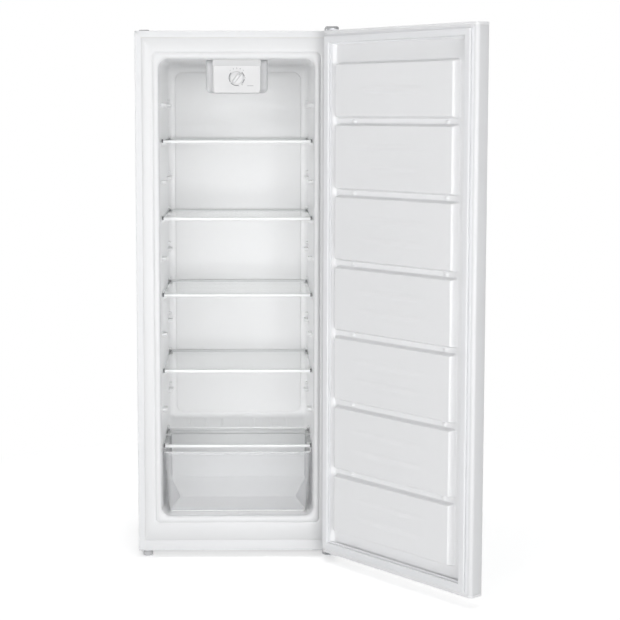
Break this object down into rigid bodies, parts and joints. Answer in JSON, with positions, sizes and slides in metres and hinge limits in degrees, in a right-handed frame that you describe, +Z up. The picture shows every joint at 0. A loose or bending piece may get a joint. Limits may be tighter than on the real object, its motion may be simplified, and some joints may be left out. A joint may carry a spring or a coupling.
{
  "type": "upright freezer",
  "caption": "Tall narrow freezer with one hinged door, glass shelves over a clear drawer, a ceiling thermostat and a compressor bay behind.",
  "frame": {"origin": "on the floor, under the middle of the cabinet", "axes": "+X to the right as seen from the front, +Y from the door to the back wall, +Z up; the door is stored standing open"},
  "size_m": [0.8919, 0.9506, 1.467],
  "materials": {
    "white_painted_steel": "gloss",
    "galvanised_steel": "satin",
    "insulation_foam": "matte",
    "white_liner_plastic": "satin",
    "white_moulded_plastic": "satin",
    "grey_plastic": "satin",
    "aluminium_sheet": "satin",
    "aluminium_tube": "satin",
    "condenser_steel_tube": "satin",
    "copper_tube": "satin",
    "black_painted_steel": "satin",
    "pump_iron": "matte",
    "black_plastic": "matte",
    "black_rubber": "matte",
    "zinc_steel": "satin",
    "seal_rubber": "matte",
    "magnet_strip": "matte",
    "shelf_glass": "polished",
    "clear_trim_plastic": "gloss",
    "clear_drawer_plastic": "gloss"
  },
  "bodies": {
    "cabinet": {"back_panel": "galvanised_steel", "base_plate": "white_painted_steel", "cabinet_foam": "insulation_foam", "compressor_bay_panel": "galvanised_steel", "compressor_grommets": "black_rubber", "compressor_mount_plate": "galvanised_steel", "compressor_pump": "pump_iron", "compressor_shell_lower": "black_painted_steel", "compressor_shell_upper": "black_painted_steel", "compressor_studs": "zinc_steel", "compressor_tray": "galvanised_steel", "condenser_tubes": "condenser_steel_tube", "cord_gland": "black_rubber", "discharge_pipe": "copper_tube", "evaporator_plate": "aluminium_sheet", "evaporator_tube": "aluminium_tube", "filter_drier": "copper_tube", "hinge_hole_plug": "grey_plastic", "hinge_pins": "zinc_steel", "hinge_screws": "zinc_steel", "inner_liner": "white_liner_plastic", "lower_hinge_bracket": "zinc_steel", "rear_feet": "grey_plastic", "side_panel_left": "white_painted_steel", "side_panel_right": "white_painted_steel", "start_relay_box": "black_plastic", "suction_pipe": "copper_tube", "thermostat_housing": "white_moulded_plastic", "thermostat_switch": "grey_plastic", "top_panel": "white_painted_steel", "upper_hinge_bracket": "zinc_steel", "upper_hinge_cover": "grey_plastic"},
    "door": {"door_outer_panel": "white_painted_steel", "door_liner": "white_liner_plastic", "door_foam": "insulation_foam", "door_top_cap": "white_moulded_plastic", "door_bottom_cap": "white_moulded_plastic", "door_gasket": "seal_rubber", "gasket_magnets": "magnet_strip", "hinge_bushes": "grey_plastic", "door_stop": "white_moulded_plastic"},
    "shelf_1": {"shelf_1_glass": "shelf_glass", "shelf_1_front_trim": "clear_trim_plastic", "shelf_1_rear_trim": "clear_trim_plastic"},
    "shelf_2": {"shelf_2_glass": "shelf_glass", "shelf_2_front_trim": "clear_trim_plastic", "shelf_2_rear_trim": "clear_trim_plastic"},
    "shelf_3": {"shelf_3_glass": "shelf_glass", "shelf_3_front_trim": "clear_trim_plastic", "shelf_3_rear_trim": "clear_trim_plastic"},
    "shelf_4": {"shelf_4_glass": "shelf_glass", "shelf_4_front_trim": "clear_trim_plastic", "shelf_4_rear_trim": "clear_trim_plastic"},
    "shelf_5": {"shelf_5_glass": "shelf_glass", "shelf_5_front_trim": "clear_trim_plastic", "shelf_5_rear_trim": "clear_trim_plastic"},
    "drawer": {"drawer_bin": "clear_drawer_plastic"},
    "dial": {"thermostat_dial": "white_moulded_plastic"},
    "foot_left": {"front_foot_left": "grey_plastic"},
    "foot_right": {"front_foot_right": "grey_plastic"}
  },
  "joints": [
    {"name": "door_hinge", "type": "hinge", "parent": "cabinet", "child": "door", "pos_m": [0.2582, -0.2808, 0.737], "axis": [0, 0, 1], "range_deg": [-130, 5]},
    {"name": "shelf_1_slide", "type": "slide", "parent": "cabinet", "child": "shelf_1", "axis": [0, -1, 0], "range_m": [0, 0.2]},
    {"name": "shelf_2_slide", "type": "slide", "parent": "cabinet", "child": "shelf_2", "axis": [0, -1, 0], "range_m": [0, 0.3]},
    {"name": "shelf_3_slide", "type": "slide", "parent": "cabinet", "child": "shelf_3", "axis": [0, -1, 0], "range_m": [0, 0.3]},
    {"name": "shelf_4_slide", "type": "slide", "parent": "cabinet", "child": "shelf_4", "axis": [0, -1, 0], "range_m": [0, 0.3]},
    {"name": "shelf_5_slide", "type": "slide", "parent": "cabinet", "child": "shelf_5", "axis": [0, -1, 0], "range_m": [0, 0.3]},
    {"name": "drawer_slide", "type": "slide", "parent": "cabinet", "child": "drawer", "axis": [0, -1, 0], "range_m": [0, 0.22]},
    {"name": "dial_turn", "type": "hinge", "parent": "cabinet", "child": "dial", "pos_m": [0, -0.198, 1.329], "axis": [0, 1, 0], "range_deg": [-150, 150]},
    {"name": "foot_left_turn", "type": "hinge", "parent": "cabinet", "child": "foot_left", "pos_m": [-0.251, -0.22, 0.01], "axis": [0, 0, 1], "continuous": true},
    {"name": "foot_right_turn", "type": "hinge", "parent": "cabinet", "child": "foot_right", "pos_m": [0.251, -0.22, 0.01], "axis": [0, 0, 1], "continuous": true}
  ]
}
